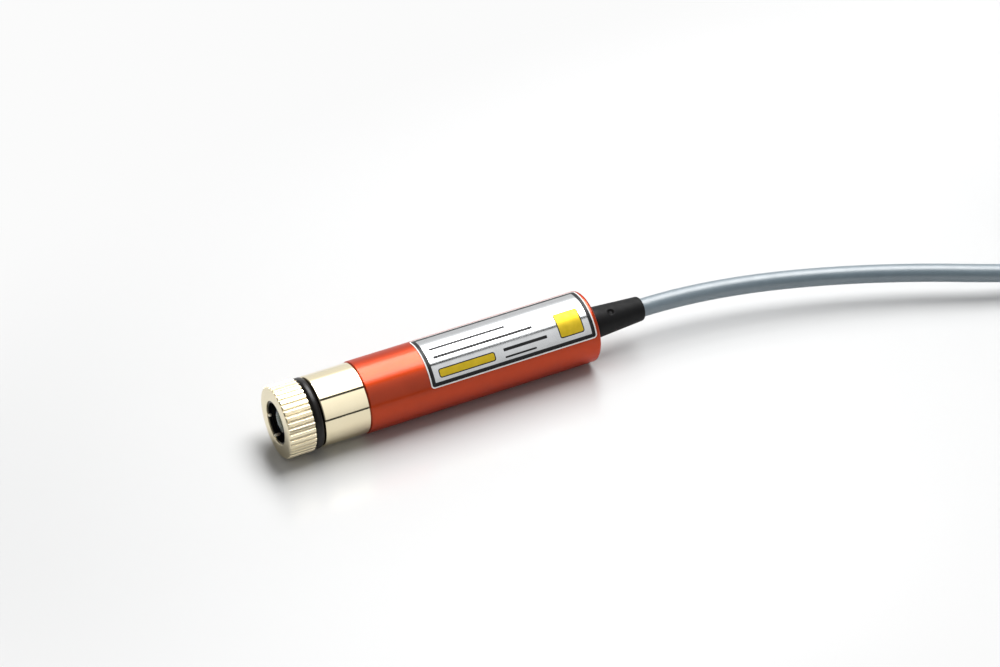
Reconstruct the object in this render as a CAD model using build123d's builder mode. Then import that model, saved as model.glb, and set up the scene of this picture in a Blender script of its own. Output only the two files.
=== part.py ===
from build123d import *
from math import cos, degrees, radians, sin, tan
import os

os.makedirs("parts", exist_ok=True)

# Laser diode module, in millimetres. X is the optical axis, and the beam leaves towards -X.
# The cable leaves towards +X, Y is across the module, and Z is up.
# The origin is on the axis, at the middle of the barrel that a holder clamps.

# Barrel and its rear wall
housing_od = 12.0
housing_length = 41.0
housing_wall = 0.9
rear_wall = 2.0
rear_round = 0.5
housing_front_chamfer = 0.15

# Plated collar that closes the barrel's front
collar_od = 11.66
collar_length = 7.8
collar_chamfer = 0.2
spigot_length = 9.0

# Knurled focus ring and its fine threaded stem, M8 x 0.5
ring_od = 11.9
ring_length = 4.45
ring_chamfer = 0.25
flute_count = 38
flute_radius = 0.22
stem_od = 8.0
stem_reach = 6.0
thread_clearance = 0.05
stem_chamfer = 0.3
aperture_radius = 3.6
recess_depth = 1.1
lens_shoulder = 0.5

# Rubber ring between the focus ring and the collar
o_ring_section = 1.5
o_ring_slack = 0.25
o_ring_side_gap = 0.1

# Lens and the thin ring that holds it
lens_clearance = 0.03
lens_edge = 1.4
lens_rise = 0.45
retainer_thickness = 0.5
retainer_land = 0.45

# Laser diode, a sealed can on a round base with three legs
diode_base_od = 5.6
diode_base_thickness = 1.2
diode_cap_od = 3.6
diode_cap_height = 2.3
window_radius = 0.9
window_thickness = 0.25
leg_od = 0.45
leg_circle_radius = 1.27
leg_length = 6.5

# Brass holder that takes the diode's heat, and the ring that clamps the diode in it
holder_od = 8.6
holder_length = 6.5
leg_hole_radius = 2.0
diode_clearance = 0.03
clamp_ring_thickness = 0.8
clamp_ring_gap = 0.3

# Driver board, held between the diode's legs, and what is soldered on it
lead_room = 6.8
board_width = 8.6
board_clearance = 0.02
chip_length, chip_width, chip_height, chip_bevel = 4.9, 3.9, 1.4, 0.25
pot_length, pot_width, pot_height = 3.8, 3.6, 1.4
rotor_radius, rotor_height, slot_width, slot_depth = 1.3, 0.4, 0.45, 0.25
capacitor_length, capacitor_width, capacitor_height = 3.2, 1.6, 1.5
resistor_length, resistor_width, resistor_height = 1.25, 2.0, 0.5
resistor_across_share = 0.66

# Insulating sleeve round the board
sleeve_wall = 0.25

# Cable, its two inner leads, and the moulded strain relief in the rear wall
cable_od = 3.1
lead_od = 1.0
lead_spread = 0.7
lead_pad_inset = 2.0
lead_run_share = 1 / 3
arc_share = 0.45
relief_neck_wall = 0.7
relief_flange_radius = 3.2
relief_flange_thickness = 1.2
relief_base_radius = 2.75
relief_tip_radius = 2.05
relief_length = 10.4
relief_tip_round = 0.4
dimple_radius = 0.45
dimple_depth = 0.3
dimple_from_wall = 4.2
dimple_angle = 30.0

# Foil label, wrapped over the top and the near side of the barrel
label_thickness = 0.08
label_length = 29.7
label_from_rear = 0.75
label_arc = 94.0
label_middle_angle = 27.0
label_corner = 0.6

# Hank of spare cable: long turns, two side by side and two high, held by two ties
turn_gap = 0.05
turns_across = 2
turns_high = 2
fold_radius = 9.8
hank_straight = 33.0
hank_x = 134.2
hank_y = -9.5
hank_round = 1.2
tie_thickness = 0.5
tie_width = 2.5

# Low-voltage barrel plug on the far end, lying in line with the hank
plug_od = 9.5
plug_length = 16.0
plug_round = 0.4
plug_nose_length = 3.0
plug_nose_step = 0.5
plug_tail_length = 8.0
plug_tail_radius = 2.4
plug_shoulder_radius = 3.4
barrel_od = 5.5
barrel_length = 9.5
barrel_wall = 0.4
barrel_chamfer = 0.2
barrel_seat_depth = 2.0
insulator_wall = 0.95
contact_wall = 0.25
contact_recess = 0.6

# How far a cut runs past the faces that it opens
overrun = 1.0

# Places along the axis, from the sizes above
housing_radius = housing_od / 2
bore_radius = housing_radius - housing_wall
housing_front = -housing_length / 2
housing_rear = housing_length / 2
cavity_rear = housing_rear - rear_wall
collar_front = housing_front - collar_length
spigot_rear = housing_front + spigot_length
ring_rear = collar_front - o_ring_section - 2 * o_ring_side_gap
ring_front = ring_rear - ring_length
stem_radius = stem_od / 2
stem_rear = collar_front + stem_reach
thread_radius = stem_radius + thread_clearance
retainer_front = ring_front + recess_depth
lens_front = retainer_front + retainer_thickness
lens_rear = lens_front + lens_edge
holder_front = spigot_rear - holder_length
diode_base_rear = holder_front + diode_base_thickness
diode_front = holder_front - diode_cap_height
board_front = spigot_rear
cable_start = cavity_rear - relief_flange_thickness
board_length = cable_start - lead_room - board_front
board_rear = board_front + board_length
board_top = -leg_od / 2
board_thickness = leg_circle_radius - leg_od - board_clearance
cable_radius = cable_od / 2
relief_tip = housing_rear + relief_length
floor_z = -housing_radius
wall_hole_radius = cable_radius + relief_neck_wall

# Housing: a tube turned and bored from the front, with a wall left at the rear for the cable
with BuildPart() as housing:
    with BuildSketch(Plane.XZ):
        with BuildLine():
            Polyline(
                (housing_front, bore_radius),
                (cavity_rear, bore_radius),
                (cavity_rear, wall_hole_radius),
                (housing_rear, wall_hole_radius),
                (housing_rear, housing_radius),
                (housing_front, housing_radius),
                close=True,
            )
        make_face()
    revolve(axis=Axis.X)
    outer_edges = housing.edges().filter_by(GeomType.CIRCLE).filter_by(
        lambda e: abs(e.radius - housing_radius) < housing_front_chamfer / 2
    )
    fillet(outer_edges.sort_by(Axis.X)[-1], radius=rear_round)
    outer_edges = housing.edges().filter_by(GeomType.CIRCLE).filter_by(
        lambda e: abs(e.radius - housing_radius) < housing_front_chamfer / 2
    )
    chamfer(outer_edges.sort_by(Axis.X)[0], length=housing_front_chamfer)
housing.part.label = "housing"
export_step(housing.part, "parts/housing.step")

# Head collar: its spigot fills the barrel's mouth, and its bore is threaded for the focus stem
with BuildPart() as head_collar:
    with BuildSketch(Plane.XZ):
        with BuildLine():
            Polyline(
                (collar_front, thread_radius),
                (holder_front, thread_radius),
                (holder_front, holder_od / 2),
                (spigot_rear, holder_od / 2),
                (spigot_rear, bore_radius),
                (housing_front, bore_radius),
                (housing_front, collar_od / 2),
                (collar_front + collar_chamfer, collar_od / 2),
                (collar_front, collar_od / 2 - collar_chamfer),
                close=True,
            )
        make_face()
    revolve(axis=Axis.X)
head_collar.part.label = "head_collar"
export_step(head_collar.part, "parts/head_collar.step")

# Focus ring: flange, hollow stem and lens seat turned as one, then fluted by straight knurling
with BuildPart() as focus_ring:
    with BuildSketch(Plane.XZ):
        with BuildLine():
            Polyline(
                (ring_front, aperture_radius),
                (lens_rear, aperture_radius),
                (lens_rear, aperture_radius - lens_shoulder),
                (stem_rear, aperture_radius - lens_shoulder),
                (stem_rear, stem_radius - stem_chamfer),
                (stem_rear - stem_chamfer, stem_radius),
                (ring_rear, stem_radius),
                (ring_rear, ring_od / 2),
                (ring_front + ring_chamfer, ring_od / 2),
                (ring_front, ring_od / 2 - ring_chamfer),
                close=True,
            )
        make_face()
    revolve(axis=Axis.X)
    with BuildSketch(Plane.YZ.offset(ring_front - overrun)):
        with PolarLocations(ring_od / 2, flute_count):
            Circle(flute_radius)
    extrude(amount=ring_length + 2 * overrun, mode=Mode.SUBTRACT)
focus_ring.part.label = "focus_ring"
export_step(focus_ring.part, "parts/focus_ring.step")

# O-ring: moulded rubber, round in section, threaded over the stem
o_ring_middle_radius = stem_radius + o_ring_slack + o_ring_section / 2
with BuildPart() as o_ring:
    with BuildSketch(Plane.XZ):
        with Locations((ring_rear + o_ring_side_gap + o_ring_section / 2, o_ring_middle_radius)):
            Circle(o_ring_section / 2)
    revolve(axis=Axis.X)
o_ring.part.label = "o_ring"
export_step(o_ring.part, "parts/o_ring.step")

# Lens: a domed front face that stands into the retainer, and a flat back on the seat's shoulder
lens_radius = aperture_radius - lens_clearance
dome_radius = lens_radius - retainer_land
dome_sphere = (dome_radius**2 + lens_rise**2) / (2 * lens_rise)
with BuildPart() as lens:
    with BuildSketch(Plane.XZ):
        with BuildLine():
            Polyline(
                (lens_front, dome_radius),
                (lens_front, lens_radius),
                (lens_rear, lens_radius),
                (lens_rear, 0),
                (lens_front - lens_rise, 0),
            )
            RadiusArc((lens_front - lens_rise, 0), (lens_front, dome_radius), dome_sphere)
        make_face()
    revolve(axis=Axis.X)
lens.part.label = "lens"
export_step(lens.part, "parts/lens.step")

# Lens retainer: a thin blackened ring pressed in front of the lens
with BuildPart() as lens_retainer:
    with BuildSketch(Plane.YZ.offset(retainer_front)):
        Circle(aperture_radius)
        Circle(dome_radius, mode=Mode.SUBTRACT)
    extrude(amount=retainer_thickness)
lens_retainer.part.label = "lens_retainer"
export_step(lens_retainer.part, "parts/lens_retainer.step")

# Diode holder: a brass slug pressed into the collar, with a pocket for the diode's base
with BuildPart() as diode_holder:
    with BuildSketch(Plane.XZ):
        with BuildLine():
            Polyline(
                (holder_front, diode_base_od / 2 + diode_clearance),
                (diode_base_rear, diode_base_od / 2 + diode_clearance),
                (diode_base_rear, leg_hole_radius),
                (spigot_rear, leg_hole_radius),
                (spigot_rear, holder_od / 2),
                (holder_front, holder_od / 2),
                close=True,
            )
        make_face()
    revolve(axis=Axis.X)
diode_holder.part.label = "diode_holder"
export_step(diode_holder.part, "parts/diode_holder.step")

# Laser diode: its cap is welded to its base, with a pocket in the cap's front for the window
with BuildPart() as laser_diode:
    with BuildSketch(Plane.YZ.offset(holder_front)):
        Circle(diode_base_od / 2)
    extrude(amount=diode_base_thickness)
    with BuildSketch(Plane.YZ.offset(diode_front)):
        Circle(diode_cap_od / 2)
    extrude(amount=diode_cap_height)
    with BuildSketch(Plane.YZ.offset(diode_front)):
        Circle(window_radius)
    extrude(amount=window_thickness, mode=Mode.SUBTRACT)
laser_diode.part.label = "laser_diode"
export_step(laser_diode.part, "parts/laser_diode.step")

# Diode window: a glass disc sealed into the cap
with BuildPart() as diode_window:
    with BuildSketch(Plane.YZ.offset(diode_front)):
        Circle(window_radius)
    extrude(amount=window_thickness)
diode_window.part.label = "diode_window"
export_step(diode_window.part, "parts/diode_window.step")

# Diode legs: two level with the axis and one below it, so the board slides in between them
with BuildPart() as diode_legs:
    with BuildSketch(Plane.YZ.offset(diode_base_rear)):
        with Locations((leg_circle_radius, 0), (-leg_circle_radius, 0), (0, -leg_circle_radius)):
            Circle(leg_od / 2)
    extrude(amount=leg_length)
diode_legs.part.label = "diode_legs"
export_step(diode_legs.part, "parts/diode_legs.step")

# Clamp ring: screwed into the collar's bore against the diode's base
with BuildPart() as clamp_ring:
    with BuildSketch(Plane.YZ.offset(holder_front - clamp_ring_thickness)):
        Circle(thread_radius)
        Circle(diode_cap_od / 2 + clamp_ring_gap, mode=Mode.SUBTRACT)
    extrude(amount=clamp_ring_thickness)
clamp_ring.part.label = "clamp_ring"
export_step(clamp_ring.part, "parts/clamp_ring.step")

# Driver board: butts against the holder, with the diode's legs soldered above and below it
with BuildPart() as driver_board:
    with BuildSketch(Plane.XY.offset(board_top - board_thickness)):
        with Locations((board_front + board_length / 2, 0)):
            Rectangle(board_length, board_width)
    extrude(amount=board_thickness)
driver_board.part.label = "driver_board"
export_step(driver_board.part, "parts/driver_board.step")

# Places along the board: chip, resistors and trim potentiometer, evenly spread
# between the ends of the diode's legs and the pads of the leads
row_lengths = [chip_length, resistor_length, pot_length]
legs_end = diode_base_rear + leg_length
pad_x = board_rear - lead_pad_inset
row_gap = (pad_x - legs_end - sum(row_lengths)) / (len(row_lengths) + 1)
chip_x = legs_end + row_gap + chip_length / 2
resistor_x = chip_x + chip_length / 2 + row_gap + resistor_length / 2
pot_x = resistor_x + resistor_length / 2 + row_gap + pot_length / 2

# Driver chip: a moulded package with a bevelled top
with BuildPart() as driver_chip:
    with BuildSketch(Plane.XY.offset(board_top)):
        with Locations((chip_x, 0)):
            Rectangle(chip_length, chip_width)
    extrude(amount=chip_height)
    chamfer(driver_chip.edges().group_by(Axis.Z)[-1], length=chip_bevel)
driver_chip.part.label = "driver_chip"
export_step(driver_chip.part, "parts/driver_chip.step")

# Trim potentiometer: a square base with a slotted rotor that sets the diode's current
with BuildPart() as trim_pot:
    with BuildSketch(Plane.XY.offset(board_top)):
        with Locations((pot_x, 0)):
            Rectangle(pot_length, pot_width)
    extrude(amount=pot_height)
    with BuildSketch(Plane.XY.offset(board_top + pot_height)):
        with Locations((pot_x, 0)):
            Circle(rotor_radius)
    extrude(amount=rotor_height)
    with BuildSketch(Plane.XY.offset(board_top + pot_height + rotor_height)):
        with Locations((pot_x, 0)):
            Rectangle(slot_width, 2 * rotor_radius + overrun)
    extrude(amount=-slot_depth, mode=Mode.SUBTRACT)
trim_pot.part.label = "trim_pot"
export_step(trim_pot.part, "parts/trim_pot.step")

# Capacitors: a pair, one each side of the trim potentiometer
capacitor_y = (pot_width + board_width) / 4
with BuildPart() as capacitors:
    with BuildSketch(Plane.XY.offset(board_top)):
        with Locations((pot_x, capacitor_y), (pot_x, -capacitor_y)):
            Rectangle(capacitor_length, capacitor_width)
    extrude(amount=capacitor_height)
capacitors.part.label = "capacitors"
export_step(capacitors.part, "parts/capacitors.step")

# Resistors: a row of three across the board
resistor_y = board_width / 2 * resistor_across_share
with BuildPart() as resistors:
    with BuildSketch(Plane.XY.offset(board_top)):
        with Locations((resistor_x, -resistor_y), (resistor_x, 0), (resistor_x, resistor_y)):
            Rectangle(resistor_length, resistor_width)
    extrude(amount=resistor_height)
resistors.part.label = "resistors"
export_step(resistors.part, "parts/resistors.step")

# Insulating sleeve: a thin tube that keeps the board off the metal barrel
with BuildPart() as insulating_sleeve:
    with BuildSketch(Plane.YZ.offset(spigot_rear)):
        Circle(bore_radius)
        Circle(bore_radius - sleeve_wall, mode=Mode.SUBTRACT)
    extrude(amount=cavity_rear - spigot_rear)
insulating_sleeve.part.label = "insulating_sleeve"
export_step(insulating_sleeve.part, "parts/insulating_sleeve.step")

# Strain relief: one rubber moulding, a flange inside the wall, a neck through it and a tapered tail
with BuildPart() as strain_relief:
    with BuildSketch(Plane.XZ):
        with BuildLine():
            Polyline(
                (cable_start, cable_radius),
                (cable_start, relief_flange_radius),
                (cavity_rear, relief_flange_radius),
                (cavity_rear, wall_hole_radius),
                (housing_rear, wall_hole_radius),
                (housing_rear, relief_base_radius),
                (relief_tip, relief_tip_radius),
                (relief_tip, cable_radius),
                close=True,
            )
        make_face()
    revolve(axis=Axis.X)
    fillet(strain_relief.edges().group_by(Axis.X)[-1].sort_by(SortBy.RADIUS)[-1], radius=relief_tip_round)
    dimple_x = housing_rear + dimple_from_wall
    dimple_plane = Plane(
        origin=(dimple_x, 0, 0),
        x_dir=(1, 0, 0),
        z_dir=(0, -sin(radians(dimple_angle)), cos(radians(dimple_angle))),
    )
    relief_fall = (relief_base_radius - relief_tip_radius) / relief_length
    dimple_surface = relief_base_radius - relief_fall * dimple_from_wall
    with BuildSketch(dimple_plane.offset(dimple_surface - dimple_depth)):
        Circle(dimple_radius)
    extrude(amount=dimple_depth + overrun, mode=Mode.SUBTRACT)
strain_relief.part.label = "strain_relief"
export_step(strain_relief.part, "parts/strain_relief.step")

# Label: metal foil that follows the barrel, from behind the top round to the near side
label_x = housing_rear - label_from_rear - label_length
with BuildPart() as label:
    with BuildSketch(Plane.YZ.offset(label_x)):
        with BuildLine():
            first_angle = 90 + label_middle_angle - label_arc / 2
            inner = CenterArc((0, 0), housing_radius, first_angle, label_arc)
            outer = CenterArc((0, 0), housing_radius + label_thickness, first_angle, label_arc)
            Line(inner @ 0, outer @ 0)
            Line(inner @ 1, outer @ 1)
        make_face()
    extrude(amount=label_length)
    corner_edges = label.edges().filter_by(GeomType.LINE).filter_by(
        lambda e: e.length < 2 * label_thickness
    )
    fillet(corner_edges, radius=label_corner)
label.part.label = "label"
export_step(label.part, "parts/label.step")


def corner_radii(points):
    """The radius of the arc at each inner point of a cord's route: as large as its two runs allow."""
    radii = []
    for before, at, after in zip(points, points[1:], points[2:]):
        first = Vector(*at) - Vector(*before)
        second = Vector(*after) - Vector(*at)
        half_turn = radians(first.get_angle(second)) / 2
        radii.append(arc_share * min(first.length, second.length) / tan(half_turn))
    return radii


def route_path(name, points):
    """Straight runs joined by tangent arcs, with the radii and the length printed."""
    radii = corner_radii(points)
    path = FilletPolyline(*points, radius=radii)
    print(name, "radii", [round(r, 1) for r in radii], "length", round(path.length, 1))
    return path


# Leads: two insulated wires from the cable's end down to their pads on the board
def lead_points(side):
    wire_z = board_top + lead_od / 2 + board_clearance
    run = (cable_start - pad_x) * lead_run_share
    return [
        (cable_start, side * lead_spread, 0),
        (cable_start - run, side * lead_spread, 0),
        (pad_x + run, side * 2 * lead_spread, wire_z),
        (pad_x, side * 2 * lead_spread, wire_z),
    ]


with BuildPart() as red_lead:
    with BuildLine():
        red_path = route_path("red_lead", lead_points(1))
    with BuildSketch(Plane(origin=red_path @ 0, z_dir=red_path % 0)):
        Circle(lead_od / 2)
    sweep(path=red_path)
red_lead.part.label = "red_lead"
export_step(red_lead.part, "parts/red_lead.step")

with BuildPart() as black_lead:
    with BuildLine():
        black_path = route_path("black_lead", lead_points(-1))
    with BuildSketch(Plane(origin=black_path @ 0, z_dir=black_path % 0)):
        Circle(lead_od / 2)
    sweep(path=black_path)
black_lead.part.label = "black_lead"
export_step(black_lead.part, "parts/black_lead.step")

# Hank: its bundle of turns, whose outermost run on the near side takes both ends of the cable
turn_pitch = cable_od + turn_gap
bundle_width = (turns_across - 1) * turn_pitch + cable_od
bundle_height = (turns_high - 1) * turn_pitch + cable_od
bundle_bottom = floor_z + tie_thickness
bundle_middle_z = bundle_bottom + bundle_height / 2
bundle_inner_radius = fold_radius - cable_radius
bundle_outer_radius = bundle_inner_radius + bundle_width
near_run_y = hank_y - bundle_outer_radius + cable_radius
lower_turn_z = bundle_bottom + cable_radius
upper_turn_z = bundle_bottom + bundle_height - cable_radius

# Cable, from inside the strain relief down to the surface and into the hank's lower outer turn
cable_points = [
    (cable_start, 0, 0),
    (43.0, 0, 0),
    (70.0, -7.8, -0.8),
    (98.0, -21.9, -2.0),
    (115.0, near_run_y, lower_turn_z),
    (124.0, near_run_y, lower_turn_z),
]
with BuildPart() as cable_tube:
    with BuildLine():
        cable_path = route_path("cable_tube", cable_points)
    with BuildSketch(Plane(origin=cable_path @ 0, z_dir=cable_path % 0)):
        Circle(cable_radius)
    sweep(path=cable_path)
cable_tube.part.label = "cable_tube"
export_step(cable_tube.part, "parts/cable_tube.step")

with BuildPart() as cable_hank:
    with BuildSketch(Plane.XY.offset(bundle_bottom)):
        with Locations((hank_x, hank_y)):
            SlotCenterToCenter(hank_straight, 2 * bundle_outer_radius)
            SlotCenterToCenter(hank_straight, 2 * bundle_inner_radius, mode=Mode.SUBTRACT)
    extrude(amount=bundle_height)
    fillet(cable_hank.edges().group_by(Axis.Z)[0], radius=hank_round)
    fillet(cable_hank.edges().group_by(Axis.Z)[-1], radius=hank_round)
cable_hank.part.label = "cable_hank"
export_step(cable_hank.part, "parts/cable_hank.step")

# Ties: two flat straps, one round each side of the hank
bundle_middle_radius = (bundle_inner_radius + bundle_outer_radius) / 2
with BuildPart() as cable_ties:
    with BuildSketch(Plane.YZ.offset(hank_x - tie_width / 2)):
        with Locations(
            (hank_y - bundle_middle_radius, bundle_middle_z),
            (hank_y + bundle_middle_radius, bundle_middle_z),
        ):
            RectangleRounded(
                bundle_width + 2 * tie_thickness,
                bundle_height + 2 * tie_thickness,
                hank_round + tie_thickness,
            )
            RectangleRounded(bundle_width, bundle_height, hank_round, mode=Mode.SUBTRACT)
    extrude(amount=tie_width)
cable_ties.part.label = "cable_ties"
export_step(cable_ties.part, "parts/cable_ties.step")

# Cable tail, from the hank's upper outer turn into the plug
plug_x = 176.0
plug_y = -19.25
plug_z = floor_z + plug_od / 2
tail_points = [
    (151.0, near_run_y, upper_turn_z),
    (160.5, near_run_y, upper_turn_z),
    (169.5, plug_y, plug_z),
    (plug_x, plug_y, plug_z),
]
with BuildPart() as cable_tail:
    with BuildLine():
        tail_path = route_path("cable_tail", tail_points)
    with BuildSketch(Plane(origin=tail_path @ 0, z_dir=tail_path % 0)):
        Circle(cable_radius)
    sweep(path=tail_path)
cable_tail.part.label = "cable_tail"
export_step(cable_tail.part, "parts/cable_tail.step")

# Plug body: a soft moulding that tapers to the cable, with a stepped nose round the barrel
shoulder_x = plug_tail_length
nose_x = plug_tail_length + plug_length - plug_nose_length
face_x = plug_tail_length + plug_length
plug_axis = Axis((plug_x, plug_y, plug_z), (1, 0, 0))
with BuildPart() as plug_body:
    with BuildSketch(Plane(origin=(plug_x, plug_y, plug_z), x_dir=(1, 0, 0), z_dir=(0, -1, 0))):
        with BuildLine():
            Polyline(
                (0, 0),
                (0, plug_tail_radius),
                (shoulder_x, plug_shoulder_radius),
                (shoulder_x, plug_od / 2),
                (nose_x, plug_od / 2),
                (nose_x, plug_od / 2 - plug_nose_step),
                (face_x, plug_od / 2 - plug_nose_step),
                (face_x, barrel_od / 2),
                (face_x - barrel_seat_depth, barrel_od / 2),
                (face_x - barrel_seat_depth, 0),
                close=True,
            )
        make_face()
    revolve(axis=plug_axis)
    full_edges = plug_body.edges().filter_by(GeomType.CIRCLE).filter_by(
        lambda e: abs(e.radius - plug_od / 2) < plug_nose_step / 2
    )
    fillet(full_edges, radius=plug_round)
plug_body.part.label = "plug_body"
export_step(plug_body.part, "parts/plug_body.step")

# Plug barrel: the plated outer contact, seated in the moulding
barrel_start = plug_x + face_x - barrel_seat_depth
barrel_full = barrel_length + barrel_seat_depth
barrel_inner = barrel_od / 2 - barrel_wall
contact_outer = barrel_inner - insulator_wall
with BuildPart() as plug_barrel:
    with BuildSketch(Plane.YZ.offset(barrel_start)):
        with Locations((plug_y, plug_z)):
            Circle(barrel_od / 2)
            Circle(barrel_inner, mode=Mode.SUBTRACT)
    extrude(amount=barrel_full)
    tip_edges = plug_barrel.edges().group_by(Axis.X)[-1]
    chamfer(tip_edges.sort_by(SortBy.RADIUS)[-1], length=barrel_chamfer)
plug_barrel.part.label = "plug_barrel"
export_step(plug_barrel.part, "parts/plug_barrel.step")

# Plug insulator: the plastic lining between the two contacts
with BuildPart() as plug_insulator:
    with BuildSketch(Plane.YZ.offset(barrel_start)):
        with Locations((plug_y, plug_z)):
            Circle(barrel_inner)
            Circle(contact_outer, mode=Mode.SUBTRACT)
    extrude(amount=barrel_full)
plug_insulator.part.label = "plug_insulator"
export_step(plug_insulator.part, "parts/plug_insulator.step")

# Plug contact: the inner tube that takes the socket's pin
with BuildPart() as plug_contact:
    with BuildSketch(Plane.YZ.offset(barrel_start)):
        with Locations((plug_y, plug_z)):
            Circle(contact_outer)
            Circle(contact_outer - contact_wall, mode=Mode.SUBTRACT)
    extrude(amount=barrel_full - contact_recess)
plug_contact.part.label = "plug_contact"
export_step(plug_contact.part, "parts/plug_contact.step")
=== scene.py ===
import bmesh
import bpy
from math import atan2, cos, hypot, pi, radians, sin
from mathutils import Matrix, Quaternion, Vector


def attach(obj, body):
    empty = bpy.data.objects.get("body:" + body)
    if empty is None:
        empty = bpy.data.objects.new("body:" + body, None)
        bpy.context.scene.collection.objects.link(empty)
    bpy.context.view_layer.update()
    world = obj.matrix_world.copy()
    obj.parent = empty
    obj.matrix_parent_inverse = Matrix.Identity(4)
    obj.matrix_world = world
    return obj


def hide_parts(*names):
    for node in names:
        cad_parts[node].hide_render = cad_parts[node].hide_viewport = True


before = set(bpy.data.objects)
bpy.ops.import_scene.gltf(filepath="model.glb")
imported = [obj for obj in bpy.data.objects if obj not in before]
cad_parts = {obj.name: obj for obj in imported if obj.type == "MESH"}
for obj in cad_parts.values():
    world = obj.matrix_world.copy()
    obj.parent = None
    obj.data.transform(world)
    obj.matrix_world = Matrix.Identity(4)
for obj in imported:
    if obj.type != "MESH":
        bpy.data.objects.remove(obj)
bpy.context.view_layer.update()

# Camera: a long lens that looks down on the module from the side of its head, as the photograph
# does. The place, the target and the roll come from a camera fitted to the photograph.
camera_place = Vector((-0.16105, -0.33998, 0.27714))
camera_target = Vector((0.0110, 0.0121, -0.006))
camera_roll = radians(-1.37)
camera_data = bpy.data.cameras.new("camera")
camera_data.lens = 104.52
camera_data.sensor_width = 36
camera_data.clip_start = 0.01
camera_data.clip_end = 20
camera = bpy.data.objects.new("camera", camera_data)
bpy.context.collection.objects.link(camera)
camera.location = camera_place
camera.rotation_mode = "QUATERNION"
aim = (camera_target - camera_place).to_track_quat("-Z", "Y")
camera.rotation_quaternion = aim @ Quaternion((0, 0, 1), camera_roll)
bpy.context.scene.camera = camera
bpy.context.scene.view_settings.view_transform = "Standard"


# Cable: 3.1 mm across, with an extruded jacket of satin blue-grey plastic. It leaves the strain
# relief and sinks towards the table, and its spare length is folded into a hank of three and a
# half turns, in two layers with two turns side by side.
cable_diameter = 0.0031
strain_relief_tip = Vector((0.0309, 0, 0))
turn_pitch = 0.00315
lower_turn_z = -0.00395
upper_turn_z = lower_turn_z + turn_pitch
inner_fold_radius = 0.0099
outer_fold_radius = inner_fold_radius + turn_pitch
hank_y = -0.0095
left_fold_x = 0.1177
right_fold_x = 0.1507
near_run_y = hank_y - outer_fold_radius
plug_start = Vector((0.1760, -0.01925, -0.00125))
fold_steps = 6

cable_route = [
    strain_relief_tip,
    (0.0430, 0, 0),
    (0.0700, -0.0078, -0.0008),
    (0.0980, -0.0219, -0.0020),
]


def fold(centre_x, first_angle, radii, heights):
    """Points round one end of the hank, on the polygon whose sides the cable's curve touches.

    The first and the last lie before and after the bend and mirror their neighbours, so that the
    spacing stays even there and the bend doesn't tighten.
    """
    step = pi / fold_steps
    points = []
    for i in range(-1, fold_steps + 1):
        angle = first_angle + (i + 0.5) * step
        done = min(max((i + 0.5) / fold_steps, 0), 1)
        radius = radii(done) / cos(step / 2)
        points.append((centre_x + radius * cos(angle), hank_y + radius * sin(angle), heights(done)))
    points[0] = (2 * centre_x - points[1][0], points[1][1], points[0][2])
    points[-1] = (2 * centre_x - points[-2][0], points[-2][1], points[-1][2])
    return points


def steady(value):
    """The same value all along the fold."""
    return lambda done: value


def change(first, last, start, end):
    """From one value to the other between two shares of the fold."""
    def value(done):
        share = min(max((done - start) / (end - start), 0), 1)
        return first + (last - first) * share
    return value


outer, inner = steady(outer_fold_radius), steady(inner_fold_radius)
low, high = steady(lower_turn_z), steady(upper_turn_z)
moving_in = change(outer_fold_radius, inner_fold_radius, 0.35, 1)
climbing = change(lower_turn_z, upper_turn_z, 0, 0.75)
moving_out = change(inner_fold_radius, outer_fold_radius, 0, 1)
right_folds = [(outer, low), (inner, low), (moving_out, high)]
left_folds = [(moving_in, low), (inner, climbing), (outer, high)]
cable_route.append((0.1150, near_run_y, lower_turn_z))
for right, left in zip(right_folds, left_folds):
    cable_route += fold(right_fold_x, -pi / 2, *right)
    cable_route += fold(left_fold_x, pi / 2, *left)
cable_route += [
    (0.1510, near_run_y, upper_turn_z),
    (0.1605, near_run_y, upper_turn_z),
    (0.1695, plug_start.y, plug_start.z),
    plug_start,
]

cable_curve = bpy.data.curves.new("cable", "CURVE")
cable_curve.dimensions = "3D"
cable_curve.resolution_u = 12
cable_curve.bevel_depth = cable_diameter / 2
cable_curve.bevel_resolution = 8
cable_curve.use_fill_caps = True
cable_line = cable_curve.splines.new("NURBS")
cable_line.points.add(len(cable_route) - 1)
for point, place in zip(cable_line.points, cable_route):
    point.co = (*place, 1)
cable_line.order_u = 3
cable_line.use_endpoint_u = True
cable = bpy.data.objects.new("cable", cable_curve)
bpy.context.collection.objects.link(cable)


def new_material(name):
    """A material with one Principled shader, and its node tree."""
    material = bpy.data.materials.new(name)
    material.use_nodes = True
    tree = material.node_tree
    return material, tree, tree.nodes["Principled BSDF"]


def add_node(tree, kind, settings=None, **sockets):
    """A node with its settings, and its inputs set to a value or linked.

    An input called _0, _1 and so on is found by its number, any other by its name.
    """
    node = tree.nodes.new(kind)
    for key, value in (settings or {}).items():
        setattr(node, key, value)
    for key, value in sockets.items():
        number = key[1:]
        socket = node.inputs[int(number) if number.isdigit() else key.replace("_", " ")]
        if isinstance(value, bpy.types.NodeSocket):
            tree.links.new(value, socket)
        else:
            socket.default_value = value
    return node


def grain(tree, scale, detail=3, stretch=(1, 1, 1)):
    """Noise in the piece's own coordinates, stretched along an axis where the scale is lower."""
    place = add_node(tree, "ShaderNodeTexCoord").outputs["Object"]
    mapped = add_node(tree, "ShaderNodeMapping", Vector=place, Scale=stretch).outputs["Vector"]
    return add_node(tree, "ShaderNodeTexNoise", Vector=mapped, Scale=scale, Detail=detail).outputs["Fac"]


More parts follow.
